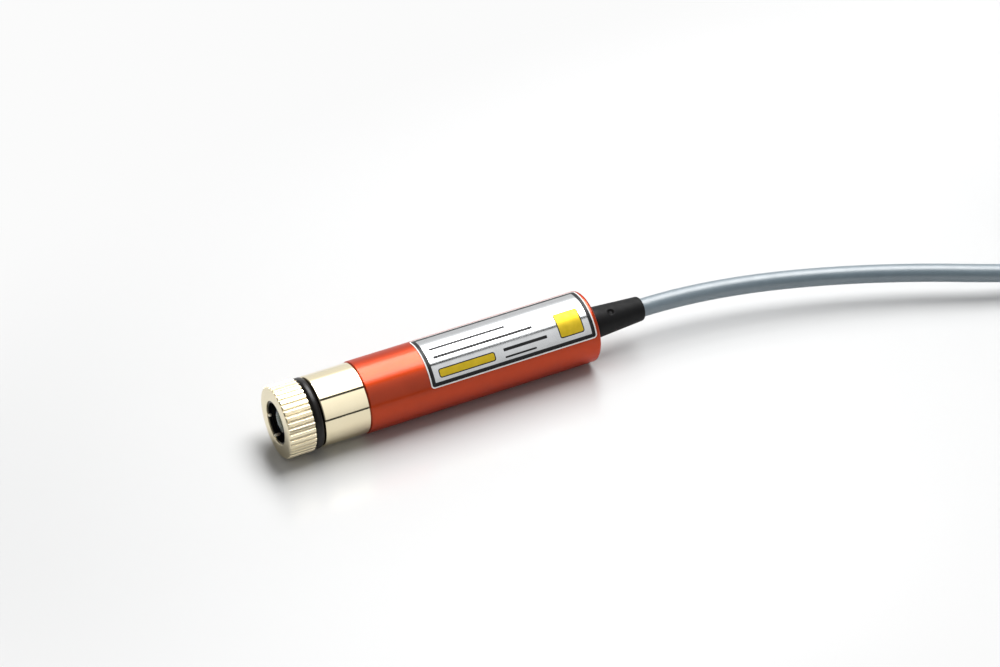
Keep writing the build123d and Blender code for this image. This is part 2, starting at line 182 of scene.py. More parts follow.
def vary(tree, shader, source, socket, low_value, high_value):
    """Lets a grey pattern drive one of the shader's sockets between two values or colours."""
    darkest, palest = 0.3, 0.7
    if isinstance(low_value, tuple):
        ramp = add_node(tree, "ShaderNodeValToRGB", Fac=source)
        first, last = ramp.color_ramp.elements
        first.position = darkest
        first.color = (*low_value, 1)
        last.position = palest
        last.color = (*high_value, 1)
        tree.links.new(ramp.outputs["Color"], shader.inputs[socket])
    else:
        spread = add_node(
            tree, "ShaderNodeMapRange", Value=source,
            _1=darkest, _2=palest, _3=low_value, _4=high_value,
        )
        tree.links.new(spread.outputs["Result"], shader.inputs[socket])


def roughen(tree, shader, source, strength, distance):
    """A bump from a grey pattern."""
    bump = add_node(tree, "ShaderNodeBump", Height=source, Strength=strength, Distance=distance)
    tree.links.new(bump.outputs["Normal"], shader.inputs["Normal"])


cable_jacket, tree, shader = new_material("cable_jacket")
shader.inputs["Specular IOR Level"].default_value = 1.0
shader.inputs["Coat Weight"].default_value = 1.0
shader.inputs["Coat Roughness"].default_value = 0.42
shader.inputs["Coat IOR"].default_value = 1.62
vary(tree, shader, grain(tree, 700), "Base Color", (0.104, 0.156, 0.193), (0.120, 0.178, 0.217))
vary(tree, shader, grain(tree, 500), "Roughness", 0.42, 0.5)
roughen(tree, shader, grain(tree, 2500), 0.12, 0.00002)
cable_curve.materials.append(cable_jacket)
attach(cable, "module")
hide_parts("cable_tube", "cable_hank", "cable_tail")


# Housing: the barrel, a 12 mm aluminium bar bored from the front, with a wall left at the rear.
# Its outside is blasted to a fine satin and anodised red.
barrel_front = -0.0205
barrel_rear = 0.0205
barrel_radius = 0.006
barrel_bore = 0.0051
rear_wall_front = 0.0185
wall_hole_radius = 0.00225
mouth_round = 0.00015
rear_round = 0.0005
bore_round = 0.0001
round_steps = 144
crease_angle = radians(28)
nearness = 1e-6


def distance_from_axis(vert):
    """How far a vertex lies from the X axis."""
    return hypot(vert.co.y, vert.co.z)


def ring_edges(shape, x, radius):
    """The edges that run round the X axis at this place and radius."""
    def lies_there(vert):
        return abs(vert.co.x - x) < nearness and abs(distance_from_axis(vert) - radius) < nearness
    return [edge for edge in shape.edges if all(lies_there(vert) for vert in edge.verts)]


def round_off(shape, geom, width, segments, affect="EDGES", clamp_overlap=False):
    """Rounds these edges, or the corners at these vertices of a flat plate."""
    bmesh.ops.bevel(
        shape, geom=geom, offset=width, offset_type="OFFSET", segments=segments,
        profile=0.5, affect=affect, material=-1, clamp_overlap=clamp_overlap,
    )


def ease(shape, width, *rings, segments=3):
    """Rounds the ring edges at these places."""
    edges = [edge for x, radius in rings for edge in ring_edges(shape, x, radius)]
    round_off(shape, edges, width, segments)


def turned(outline, steps=round_steps, closed=True):
    """A shape turned about the X axis from an outline of places and radii."""
    shape = bmesh.new()
    corners = [shape.verts.new((x, 0, radius)) for x, radius in outline]
    ends = corners[1:] + corners[:1] if closed else corners[1:]
    sides = [shape.edges.new(pair) for pair in zip(corners, ends)]
    bmesh.ops.spin(
        shape, geom=corners + sides, cent=(0, 0, 0), axis=(1, 0, 0), angle=2 * pi, steps=steps,
        use_merge=True,
    )
    bmesh.ops.remove_doubles(shape, verts=shape.verts, dist=nearness)
    bmesh.ops.recalc_face_normals(shape, faces=shape.faces)
    return shape


def make_piece(name, shape, material, body, slot, *nodes):
    """A finished piece from a mesh: smooth, with its creases kept, riding on its body."""
    for face in shape.faces:
        face.smooth = True
    for edge in shape.edges:
        edge.smooth = edge.calc_face_angle(0) < crease_angle
    mesh = bpy.data.meshes.new(name)
    shape.to_mesh(mesh)
    shape.free()
    mesh.materials.append(material)
    piece = bpy.data.objects.new(name, mesh)
    bpy.context.collection.objects.link(piece)
    piece.modifiers.new("even_normals", "WEIGHTED_NORMAL").keep_sharp = True
    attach(piece, body)
    if nodes:
        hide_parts(*nodes)
    return piece


barrel = turned([
    (barrel_front, barrel_bore),
    (barrel_front, barrel_radius),
    (barrel_rear, barrel_radius),
    (barrel_rear, wall_hole_radius),
    (rear_wall_front, wall_hole_radius),
    (rear_wall_front, barrel_bore),
])
ease(barrel, mouth_round, (barrel_front, barrel_radius), segments=2)
ease(barrel, rear_round, (barrel_rear, barrel_radius), segments=6)
ease(barrel, bore_round, (barrel_rear, wall_hole_radius), (barrel_front, barrel_bore))

red_anodising, tree, shader = new_material("red_anodising")
shader.inputs["Metallic"].default_value = 0.9
shader.inputs["Specular Tint"].default_value = (1.0, 0.4, 0.2, 1)
shader.inputs["Coat Weight"].default_value = 0.5
shader.inputs["Coat Roughness"].default_value = 0.16
vary(tree, shader, grain(tree, 260), "Base Color", (0.45, 0.040, 0.003), (0.50, 0.046, 0.005))
vary(tree, shader, grain(tree, 1400), "Roughness", 0.42, 0.47)
roughen(tree, shader, grain(tree, 9000, detail=2), 0.25, 0.00001)
make_piece("barrel", barrel, red_anodising, "module", "red_anodised", "housing")


# Head collar: turned brass, nickel-plated to a bright finish, with a spigot that fills the barrel's
# mouth, a fine groove beside the barrel and a bore for the focus screw.
collar_front = -0.0283
collar_radius = 0.00583
groove_width = 0.00016
groove_depth = 0.0003
spigot_rear = -0.0115
thread_bore = 0.00405
thread_rear = -0.0180
relief_bore = 0.0043
collar_round = 0.0002
small_round = 0.00004

collar = turned([
    (collar_front, thread_bore),
    (collar_front, collar_radius),
    (barrel_front - groove_width, collar_radius),
    (barrel_front - groove_width, collar_radius - groove_depth),
    (barrel_front, collar_radius - groove_depth),
    (barrel_front, barrel_bore),
    (spigot_rear, barrel_bore),
    (spigot_rear, relief_bore),
    (thread_rear, relief_bore),
    (thread_rear, thread_bore),
])
ease(collar, collar_round, (collar_front, collar_radius), segments=2)
ease(
    collar, small_round, (barrel_front - groove_width, collar_radius), (collar_front, thread_bore)
)


def compute(tree, operation, first, second=0.0):
    """The result of a math node on sockets or plain numbers."""
    return add_node(tree, "ShaderNodeMath", {"operation": operation}, _0=first, _1=second).outputs[0]


def turning_marks(tree, scale):
    """Fine rings left by the lathe: noise that changes along the axis and with the radius."""
    place = add_node(tree, "ShaderNodeTexCoord").outputs["Object"]
    along = add_node(tree, "ShaderNodeSeparateXYZ", Vector=place).outputs["X"]
    flattened = add_node(
        tree, "ShaderNodeVectorMath", {"operation": "MULTIPLY"}, _0=place, _1=(0, 1, 1)
    )
    distance = add_node(
        tree, "ShaderNodeVectorMath", {"operation": "LENGTH"}, _0=flattened.outputs["Vector"]
    ).outputs["Value"]
    rings = add_node(tree, "ShaderNodeCombineXYZ", X=along, Y=distance).outputs["Vector"]
    return add_node(tree, "ShaderNodeTexNoise", Vector=rings, Scale=scale, Detail=2).outputs["Fac"]


def nickel_plating(name, low_roughness, high_roughness, strength, waviness):
    """Warm nickel on turned brass, with the lathe's rings and a slight waviness showing through."""
    mark_depth = 0.000004
    material, tree, shader = new_material(name)
    shader.inputs["Metallic"].default_value = 1.0
    vary(tree, shader, grain(tree, 180), "Base Color", (0.84, 0.745, 0.52), (0.88, 0.785, 0.56))
    vary(tree, shader, grain(tree, 700), "Roughness", low_roughness, high_roughness)
    waves = compute(tree, "MULTIPLY", grain(tree, 500), waviness)
    height = compute(tree, "ADD", turning_marks(tree, 7000), waves)
    roughen(tree, shader, height, strength, mark_depth)
    return material


collar_plating = nickel_plating("collar_plating", 0.05, 0.08, 0.12, 3.0)
make_piece("collar", collar, collar_plating, "module", "nickel", "head_collar")


# Focus ring: turned from brass in one piece with its hollow screw, fluted round the rim for the
# fingers and nickel-plated; in the flutes the plating is rougher and painted darker, as painted
# shade in the grooves. It screws into the collar and carries the lens; the screw's thread is a
# ridge of its own, wound round the stem.
ring_front = -0.03445
ring_rear = -0.0300
ring_radius = 0.00595
flute_count = 38
flute_radius = 0.00022
flute_steps = 6
crest_round = 0.00006
rim_round = 0.00008
flank_angle = radians(50)
least_length_along = 1e-4
flute_floor_depth = 0.00009
face_margin = 0.00002
least_flute_area = 1e-7
face_radius = 0.0057
aperture_radius = 0.0036
lens_seat = -0.03145
screw_bore = 0.0031
screw_root = 0.00374
screw_crest = 0.0040
screw_rear = -0.0223
screw_pitch = 0.0005
screw_turns = 14
screw_steps = 64
first_tooth = ring_rear + 0.0003
tooth_foot = 0.00024
tooth_crest = 0.00004
tooth_root = screw_root - 0.0001


def rim_point(shape, centre_angle, across, outwards):
    """A vertex on the rear face's plane, beside a point of the rim."""
    direction = Vector((0, sin(centre_angle), cos(centre_angle)))
    tangent = Vector((0, cos(centre_angle), -sin(centre_angle)))
    place = direction * (ring_radius + outwards) + tangent * across
    return shape.verts.new((ring_rear, place.y, place.z))


def new_verts(made):
    """The vertices among what an extrusion made."""
    return [item for item in made["geom"] if isinstance(item, bmesh.types.BMVert)]


def next_ring(shape, loop, x, radius):
    """Extrudes a closed loop of edges to a place and radius, and returns the new loop."""
    made = bmesh.ops.extrude_edge_only(shape, edges=loop)
    moved = set(new_verts(made))
    for vert in moved:
        share = radius(vert) / distance_from_axis(vert)
        vert.co = (x(vert), vert.co.y * share, vert.co.z * share)
    return [
        item for item in made["geom"]
        if isinstance(item, bmesh.types.BMEdge) and moved.issuperset(item.verts)
    ]


knob = bmesh.new()
flute_pitch = 2 * pi / flute_count
flute_half = flute_radius / ring_radius
crest_angles = (flute_half, flute_pitch / 2, flute_pitch - flute_half)
crest = [rim_point(knob, angle, 0, 0) for angle in crest_angles]
flute_turns = [pi * k / flute_steps for k in range(1, flute_steps)]
flute = [
    rim_point(knob, 0, -flute_radius * cos(turn), -flute_radius * sin(turn)) for turn in flute_turns
]
flute_start = rim_point(knob, -flute_half, 0, 0)
wire = [flute_start, *flute, *crest]
pitch_edges = [knob.edges.new(pair) for pair in zip(wire, wire[1:])]
bmesh.ops.spin(
    knob, geom=wire + pitch_edges, cent=(0, 0, 0), axis=(-1, 0, 0), angle=2 * pi,
    steps=flute_count, use_duplicate=True,
)
bmesh.ops.remove_doubles(knob, verts=knob.verts, dist=nearness)
rim = knob.edges[:]
front_rim = next_ring(
    knob, rim, lambda vert: ring_front + distance_from_axis(vert) - face_radius, distance_from_axis
)
inner_rings = [
    (ring_front, face_radius),
    (ring_front, aperture_radius),
    (lens_seat, aperture_radius),
    (lens_seat, screw_bore),
    (screw_rear, screw_bore),
    (screw_rear, screw_root),
    (ring_rear, screw_root),
]
loop = front_rim
for x, radius in inner_rings:
    loop = next_ring(knob, loop, lambda vert, x=x: x, lambda vert, radius=radius: radius)
bmesh.ops.bridge_loops(knob, edges=rim + loop)
bmesh.ops.recalc_face_normals(knob, faces=knob.faces)
corners = [
    edge for edge in knob.edges
    if edge.calc_face_angle(0) > flank_angle
    and all(abs(distance_from_axis(vert) - ring_radius) < nearness for vert in edge.verts)
    and abs(edge.verts[0].co.x - edge.verts[1].co.x) > least_length_along
]
round_off(knob, corners, crest_round, segments=3)
ease(knob, rim_round, (ring_front, aperture_radius), (ring_front, face_radius))
# Faces deep in the flutes take the second material, the painted shade of the grooves.
for face in knob.faces:
    middle = face.calc_center_median()
    out = hypot(middle.y, middle.z)
    in_flute = face_radius + face_margin < out < ring_radius - flute_floor_depth
    face.material_index = int(in_flute and face.calc_area() > least_flute_area)

tooth = bmesh.new()
tooth_outline = [
    (-tooth_foot, tooth_root),
    (-tooth_crest, screw_crest),
    (tooth_crest, screw_crest),
    (tooth_foot, tooth_root),
]
tooth_verts = [tooth.verts.new((first_tooth + x, 0, radius)) for x, radius in tooth_outline]
tooth_face = tooth.faces.new(tooth_verts)
bmesh.ops.spin(
    tooth, geom=[tooth_face], cent=(0, 0, 0), axis=(1, 0, 0),
    dvec=(screw_pitch / screw_steps, 0, 0), angle=2 * pi * screw_turns,
    steps=screw_steps * screw_turns,
)
bmesh.ops.recalc_face_normals(tooth, faces=tooth.faces)

knob_plating = nickel_plating("knob_plating", 0.17, 0.23, 0.3, 1.0)
# The flutes' plating is painted darker: painted shade in the grooves, with a rougher finish.
flute_painted_shade, tree, shader = new_material("flute_painted_shade")
shader.inputs["Metallic"].default_value = 1.0
vary(tree, shader, grain(tree, 2000), "Base Color", (0.58, 0.50, 0.35), (0.72, 0.64, 0.47))
vary(tree, shader, grain(tree, 1200), "Roughness", 0.35, 0.5)
focus_knob = make_piece("focus_knob", knob, knob_plating, "focus_head", "nickel", "focus_ring")
focus_knob.data.materials.append(flute_painted_shade)
make_piece("focus_thread", tooth, knob_plating, "focus_head", "nickel")


# O-ring: a moulded rubber ring with well-rounded corners. It lies round the screw in the gap between
# the focus ring and the collar, where it keeps grit off the thread and moves out with the ring.
o_ring_front = -0.02993
o_ring_rear = -0.02837
o_ring_outside = 0.00584
o_ring_inside = 0.0042
o_ring_round = 0.0006
o_ring_corners = [
    (o_ring_front, o_ring_inside),
    (o_ring_front, o_ring_outside),
    (o_ring_rear, o_ring_outside),
    (o_ring_rear, o_ring_inside),
]
o_ring_shape = turned(o_ring_corners)
ease(o_ring_shape, o_ring_round, *o_ring_corners, segments=6)


def moulded_rubber(name, dark, pale, low_roughness, high_roughness, shine, depth):
    """Black rubber with the fine grain of its mould and a slight bloom."""
    material, tree, shader = new_material(name)
    shader.inputs["Specular IOR Level"].default_value = shine
    vary(tree, shader, grain(tree, 500), "Base Color", dark, pale)
    vary(tree, shader, grain(tree, 900), "Roughness", low_roughness, high_roughness)
    roughen(tree, shader, grain(tree, 6000), 0.4, depth)
    return material


o_ring_rubber = moulded_rubber(
    "o_ring_rubber", (0.004, 0.003, 0.003), (0.008, 0.006, 0.005), 0.28, 0.4, 0.3, 0.00001
)
make_piece("rubber_ring", o_ring_shape, o_ring_rubber, "focus_slide", "black_rubber", "o_ring")


# Lens and retainer: a domed glass lens, coated against reflections, sits in the focus ring's
# aperture behind a thin blackened ring with two spanner slots that is screwed in after it. Two
# burrs of bare metal, raised with a punch, keep that ring from turning.
lens_front = -0.03285
lens_apex = -0.0340
lens_radius = 0.00357
dome_edge = 0.00312
retainer_front = -0.03425
retainer_step = -0.0332
retainer_bore = 0.0033
spanner_slot_depth = 0.0005
spanner_slot_half_width = 0.0004
lens_round = 0.00005
lens_steps = 96
dome_steps = 12
dome_rise = lens_front - lens_apex
dome_curve = (dome_rise ** 2 + dome_edge ** 2) / (2 * dome_rise)
dome_reach = atan2(dome_edge, dome_curve - dome_rise)
dome = [
    (lens_apex + dome_curve * (1 - cos(dome_reach * k / dome_steps)),
     dome_curve * sin(dome_reach * k / dome_steps))
    for k in range(dome_steps + 1)
]
lens_shape = turned(
    [*dome, (lens_front, lens_radius), (lens_seat, lens_radius), (lens_seat, 0)],
    steps=lens_steps, closed=False,
)
ease(lens_shape, lens_round, (lens_front, lens_radius), (lens_seat, lens_radius))
retainer_shape = turned([
    (retainer_front, retainer_bore),
    (retainer_front, aperture_radius),
    (lens_front, aperture_radius),
    (lens_front, dome_edge),
    (retainer_step, dome_edge),
    (retainer_step, retainer_bore),
])
slots = [
    face for face in retainer_shape.faces
    if abs(face.calc_center_median().x - retainer_front) < nearness
    and abs(face.calc_center_median().y) < spanner_slot_half_width
]
sunk = bmesh.ops.extrude_face_region(retainer_shape, geom=slots)
bmesh.ops.translate(retainer_shape, vec=(spanner_slot_depth, 0, 0), verts=new_verts(sunk))
bmesh.ops.recalc_face_normals(retainer_shape, faces=retainer_shape.faces)

coated_glass, tree, shader = new_material("coated_glass")
shader.inputs["Transmission Weight"].default_value = 1.0
shader.inputs["IOR"].default_value = 1.6
shader.inputs["Thin Film Thickness"].default_value = 260
shader.inputs["Thin Film IOR"].default_value = 1.38
vary(tree, shader, grain(tree, 300), "Base Color", (0.50, 0.44, 0.62), (0.56, 0.50, 0.68))
vary(tree, shader, grain(tree, 800), "Roughness", 0.01, 0.04)
make_piece("front_lens", lens_shape, coated_glass, "focus_head", "lens_glass", "lens")

blackened, tree, shader = new_material("blackened_aluminium")
shader.inputs["Metallic"].default_value = 0.6
vary(tree, shader, grain(tree, 600), "Base Color", (0.012, 0.012, 0.014), (0.022, 0.021, 0.022))
vary(tree, shader, turning_marks(tree, 5000), "Roughness", 0.22, 0.34)
roughen(tree, shader, turning_marks(tree, 9000), 0.3, 0.000005)
make_piece(
    "retaining_ring", retainer_shape, blackened, "focus_head", "black_anodised", "lens_retainer"
)

burr_places = [(-0.03402, 102.5, 0.00030), (-0.03388, 163.5, 0.00058)]
burr_half_width = 0.00032
burr_height = 0.00026
burrs = bmesh.new()
for x, degrees_from_top, half_length in burr_places:
    turn = Matrix.Rotation(-radians(degrees_from_top), 4, "X")
    at_wall = turn @ Matrix.Translation((x, 0, retainer_bore))
    squashed = at_wall @ Matrix.Diagonal((half_length, burr_half_width, burr_height, 1))
    bmesh.ops.create_uvsphere(burrs, u_segments=20, v_segments=12, radius=1, matrix=squashed)
bmesh.ops.recalc_face_normals(burrs, faces=burrs.faces)
peened_metal, tree, shader = new_material("peened_metal")
shader.inputs["Metallic"].default_value = 1.0
vary(tree, shader, grain(tree, 3000), "Base Color", (0.95, 0.89, 0.72), (0.98, 0.93, 0.78))
vary(tree, shader, grain(tree, 3000), "Roughness", 0.4, 0.5)
make_piece("staking_burrs", burrs, peened_metal, "focus_head", "nickel")


# Label: silver foil with a clear film, die-cut with rounded corners and stuck on round the barrel.
# It is printed with a plain frame, two ochre fields and dark stripes; its cut edge shows white.
label_left = -0.00995
label_right = 0.01975
label_low_arc = radians(-25) * barrel_radius
label_high_arc = radians(74) * barrel_radius
foil_thickness = 0.00008
ink_thickness = 0.000008
arc_step = 0.0003
cut_tolerance = 1e-8
label_corner = 0.0006
field_corner = 0.0004
ochre_corner = 0.00025
stripe_corner = 0.0001


def add_field(shape, left, right, low, high, corner=stripe_corner, border=None):
    """A flat field of the label, along the barrel and round it, or only its border."""
    place = Matrix.Translation(((left + right) / 2, (low + high) / 2, 0))
    size = Matrix.Diagonal((right - left, high - low, 1, 1))
    earlier = set(shape.faces)
    corners = bmesh.ops.create_grid(
        shape, x_segments=1, y_segments=1, size=0.5, matrix=place @ size
    )["verts"]
    round_off(shape, corners, corner, segments=4, affect="VERTICES")
    if border:
        inside = [face for face in shape.faces if face not in earlier]
        bmesh.ops.inset_region(
            shape, faces=inside, thickness=border, use_boundary=True, use_even_offset=True
        )
        bmesh.ops.delete(shape, geom=inside, context="FACES")


def wrap(shape, height, thickness):
    """Gives flat fields their thickness and bends them round the barrel at a height."""
    bmesh.ops.solidify(shape, geom=shape.faces[:], thickness=thickness)
    lowest = min(vert.co.z for vert in shape.verts)
    bmesh.ops.translate(shape, vec=(0, 0, height - lowest), verts=shape.verts)
    cut = label_low_arc + arc_step / 2
    while cut < label_high_arc:
        everything = shape.verts[:] + shape.edges[:] + shape.faces[:]
        bmesh.ops.bisect_plane(
            shape, geom=everything, dist=cut_tolerance,
            plane_co=(0, cut, 0), plane_no=(0, 1, 0),
        )
        cut += arc_step
    for vert in shape.verts:
        angle = vert.co.y / barrel_radius
        radius = barrel_radius + vert.co.z
        vert.co = (vert.co.x, -radius * sin(angle), radius * cos(angle))
    bmesh.ops.recalc_face_normals(shape, faces=shape.faces)


foil = bmesh.new()
add_field(foil, label_left, label_right, label_low_arc, label_high_arc, label_corner)
wrap(foil, 0, foil_thickness)

label_foil, tree, shader = new_material("label_foil")
shader.inputs["Metallic"].default_value = 1.0
shader.inputs["Coat Weight"].default_value = 0.5
shader.inputs["Coat Roughness"].default_value = 0.05
vary(tree, shader, grain(tree, 400), "Base Color", (0.50, 0.51, 0.52), (0.55, 0.56, 0.57))
vary(tree, shader, grain(tree, 1200, stretch=(0.2, 1, 1)), "Roughness", 0.12, 0.18)
roughen(tree, shader, grain(tree, 250), 0.25, 0.00002)
make_piece("foil_label", foil, label_foil, "module", "label_foil", "label")


def printed_ink(name, dark, pale, metallic):
    """Screen-printed ink: a thin, slightly uneven coat over the foil."""
    material, tree, shader = new_material(name)
    shader.inputs["Metallic"].default_value = metallic
    shader.inputs["Specular IOR Level"].default_value = 0.2
    vary(tree, shader, grain(tree, 900), "Base Color", dark, pale)
    vary(tree, shader, grain(tree, 1500), "Roughness", 0.3, 0.42)
    return material


edge_margin = 0.00022
frame_width = 0.00062
key_line = 0.00018
cut_edge = bmesh.new()
add_field(
    cut_edge, label_left, label_right, label_low_arc, label_high_arc, label_corner, edge_margin
)
wrap(cut_edge, foil_thickness, ink_thickness)
make_piece(
    "label_edge", cut_edge, printed_ink("edge_white", (0.80, 0.80, 0.79), (0.86, 0.86, 0.85), 0),
    "module", "label_foil",
)

block = (0.0134, 0.0178, 0.0020, 0.0062)
bar = (-0.0082, 0.0018, 0.0049, 0.0064)
stripes = [
    (-0.0082, 0.0052, 0.0011, 0.0016),
    (-0.0082, 0.0094, 0.0027, 0.0032),
    (0.0034, 0.0112, 0.0049, 0.0054),
    (0.0034, 0.0090, 0.0062, 0.0065),
]
dark_print = bmesh.new()
add_field(
    dark_print, label_left + edge_margin, label_right - edge_margin,
    label_low_arc + edge_margin, label_high_arc - edge_margin, field_corner, frame_width,
)
for field in (block, bar):
    add_field(dark_print, *field, field_corner, key_line)
for stripe in stripes:
    add_field(dark_print, *stripe)
wrap(dark_print, foil_thickness, ink_thickness)
make_piece(
    "label_dark_print", dark_print,
    printed_ink("dark_ink", (0.010, 0.010, 0.011), (0.018, 0.018, 0.019), 0),
    "module", "label_foil",
)

ochre_print = bmesh.new()
for left, right, low, high in (block, bar):
    add_field(
        ochre_print, left + key_line, right - key_line, low + key_line, high - key_line,
        ochre_corner,
    )
wrap(ochre_print, foil_thickness, ink_thickness)
make_piece(
    "label_ochre_print", ochre_print,
    printed_ink("ochre_ink", (0.62, 0.44, 0.02), (0.70, 0.50, 0.03), 0.6),
    "module", "label_foil",
)


# Strain relief: a tapered boot of soft black rubber. It is moulded with a flange that holds it
# inside the barrel, against the rear wall, and with a small round dimple from the mould's pin.
boot_flange_front = 0.0173
boot_flange_radius = 0.0032
boot_base_radius = 0.00275
boot_tip = 0.0309
boot_tip_radius = 0.00205
boot_bore = 0.00155
dimple_x = 0.0247
dimple_angle = radians(30)
dimple_radius = 0.00045
dimple_depth = 0.0003
dimple_reach = 1.3
dimple_flank = 0.5
dimple_band = 0.0008
dimple_rings = 16
boot_tip_round = 0.0004
boot_base_round = 0.00012


def boot_radius(x):
    """The boot's outside at a place along its taper."""
    share = (x - barrel_rear) / (boot_tip - barrel_rear)
    return boot_base_radius + (boot_tip_radius - boot_base_radius) * share


band = [
    dimple_x - dimple_band + 2 * dimple_band * k / dimple_rings for k in range(dimple_rings + 1)
]
boot = turned([
    (boot_flange_front, boot_bore),
    (boot_flange_front, boot_flange_radius),
    (rear_wall_front, boot_flange_radius),
    (rear_wall_front, wall_hole_radius),
    (barrel_rear, wall_hole_radius),
    (barrel_rear, boot_base_radius),
    *[(x, boot_radius(x)) for x in band],
    (boot_tip, boot_tip_radius),
    (boot_tip, boot_bore),
])
ease(boot, boot_tip_round, (boot_tip, boot_tip_radius), segments=5)
ease(boot, boot_base_round, (barrel_rear, boot_base_radius))
dimple_side = boot_radius(dimple_x)
dimple_centre = Vector(
    (dimple_x, -dimple_side * sin(dimple_angle), dimple_side * cos(dimple_angle))
)
for vert in boot.verts:
    reach = (vert.co - dimple_centre).length / dimple_radius
    if reach < dimple_reach:
        outwards = Vector((0, vert.co.y, vert.co.z)).normalized()
        vert.co -= outwards * dimple_depth * min(1, (dimple_reach - reach) / dimple_flank)

boot_rubber = moulded_rubber(
    "boot_rubber", (0.003, 0.003, 0.0035), (0.005, 0.005, 0.0055), 0.5, 0.62, 0.2, 0.00002
)
make_piece("cable_boot", boot, boot_rubber, "module", "black_rubber", "strain_relief")


# Ties: two black nylon straps hold the hank, one round each side of it. Each is drawn through its
# own moulded head on top and cut off short.
tie_left = 0.13295
tie_width = 0.0025
tie_outside = 0.00725
tie_thickness = 0.0005
tie_corner = 0.0017
tie_z = -0.002375
hank_middle_radius = (inner_fold_radius + outer_fold_radius) / 2
tie_middles = [hank_y - hank_middle_radius, hank_y + hank_middle_radius]
tie_head = Vector((0.0040, 0.0036, 0.0022))
tie_tail = Vector((0.0021, 0.0018, 0.0009))
tie_round = 0.00015
tie_head_sink = 0.0003
tie_tail_sink = 0.0001
tie_head_wall = 0.0007
sharp_angle = radians(50)
strap_top = tie_z + tie_outside / 2

ties = bmesh.new()
for middle_y in tie_middles:
    earlier = set(ties.faces)
    upright = Matrix.Translation((tie_left, middle_y, tie_z)) @ Matrix.Rotation(pi / 2, 4, "Y")
    corners = bmesh.ops.create_grid(
        ties, x_segments=1, y_segments=1, size=tie_outside / 2, matrix=upright
    )["verts"]
    round_off(ties, corners, tie_corner, segments=6, affect="VERTICES")
    inside = [face for face in ties.faces if face not in earlier]
    bmesh.ops.inset_region(
        ties, faces=inside, thickness=tie_thickness, use_boundary=True, use_even_offset=True
    )
    bmesh.ops.delete(ties, geom=inside, context="FACES")
    strap = [face for face in ties.faces if face not in earlier]
    drawn = bmesh.ops.extrude_face_region(ties, geom=strap, use_keep_orig=True)
    bmesh.ops.translate(ties, vec=(tie_width, 0, 0), verts=new_verts(drawn))
    head_place = Vector((
        tie_left + tie_width / 2, middle_y, strap_top + tie_head.z / 2 - tie_head_sink
    ))
    tail_place = head_place + Vector((0, tie_head.y / 2 + tie_tail.y / 2 - tie_tail_sink, 0))
    for size, place in ((tie_head, head_place), (tie_tail, tail_place)):
        block_place = Matrix.Translation(place) @ Matrix.Diagonal((*size, 1))
        bmesh.ops.create_cube(ties, size=1, matrix=block_place)
bmesh.ops.recalc_face_normals(ties, faces=ties.faces)
head_top = strap_top + tie_head.z - tie_head_sink
tops = [face for face in ties.faces if abs(face.calc_center_median().z - head_top) < nearness]
bmesh.ops.inset_region(ties, faces=tops, thickness=tie_head_wall, depth=-tie_head_wall)
sharp = [edge for edge in ties.edges if edge.calc_face_angle(0) > sharp_angle]
round_off(ties, sharp, tie_round, segments=2, clamp_overlap=True)

tie_nylon, tree, shader = new_material("tie_nylon")
vary(tree, shader, grain(tree, 700), "Base Color", (0.012, 0.012, 0.012), (0.022, 0.022, 0.022))
vary(tree, shader, grain(tree, 1500), "Roughness", 0.38, 0.5)
roughen(tree, shader, grain(tree, 4000), 0.3, 0.00002)
make_piece("cable_tie_straps", ties, tie_nylon, "module", "tie_black", "cable_ties")


# Plug: a straight low-voltage plug at the cable's end. Its soft body is moulded over the cable,
# with ring slots that let the tail bend and ribs for the fingers; the contacts are plated brass.
tail_start = plug_start.x
tail_end = 0.1840
tail_radii = (0.0024, 0.0034)
shoulder_end = 0.1848
grip_radius = 0.00475
grip_steps = 64
grip_end = 0.1970
nose_end = 0.2000
nose_radius = 0.00425
slot_places = [0.1774, 0.1791, 0.1808, 0.1825]
slot_width = 0.0006
slot_depth = 0.0005
rib_start = 0.1862
rib_end = 0.1952
steps_per_rib = 4
steps_per_gap = 2
gap_margin = 0.00012
gap_depth = 0.0003
nose_round = 0.0005
grip_round = 0.0003
tail_round = 0.0004


def tail_radius(x):
    """The tail's outside at a place along its taper."""
    share = (x - tail_start) / (tail_end - tail_start)
    return tail_radii[0] + (tail_radii[1] - tail_radii[0]) * share


tail_outline = [(tail_start, 0), (tail_start, tail_radii[0])]
for x in slot_places:
    far = x + slot_width
    tail_outline += [
        (x, tail_radius(x)), (x, tail_radius(x) - slot_depth),
        (far, tail_radius(far) - slot_depth), (far, tail_radius(far)),
    ]
plug_grip = turned(
    [
        *tail_outline,
        (tail_end, tail_radii[1]),
        (shoulder_end, grip_radius),
        (rib_start, grip_radius),
        (rib_end, grip_radius),
        (grip_end, grip_radius),
        (grip_end, nose_radius),
        (nose_end, nose_radius),
        (nose_end, 0),
    ],
    steps=grip_steps, closed=False,
)
rib_gaps = []
for face in plug_grip.faces:
    middle = face.calc_center_median()
    step = int((atan2(middle.y, middle.z) / (2 * pi) + 1) * grip_steps)
    if rib_start < middle.x < rib_end and step % steps_per_rib < steps_per_gap:
        rib_gaps.append(face)
bmesh.ops.inset_region(plug_grip, faces=rib_gaps, thickness=gap_margin, depth=-gap_depth)
ease(plug_grip, nose_round, (nose_end, nose_radius), segments=4)
ease(plug_grip, grip_round, (grip_end, grip_radius), (shoulder_end, grip_radius))
ease(plug_grip, tail_round, (tail_start, tail_radii[0]))
bmesh.ops.translate(plug_grip, vec=(0, plug_start.y, plug_start.z), verts=plug_grip.verts)

plug_vinyl, tree, shader = new_material("plug_vinyl")
vary(tree, shader, grain(tree, 400), "Base Color", (0.011, 0.011, 0.012), (0.019, 0.019, 0.020))
vary(tree, shader, grain(tree, 900), "Roughness", 0.42, 0.55)
roughen(tree, shader, grain(tree, 5000), 0.4, 0.00002)
make_piece("plug_grip", plug_grip, plug_vinyl, "module", "plug_black", "plug_body")


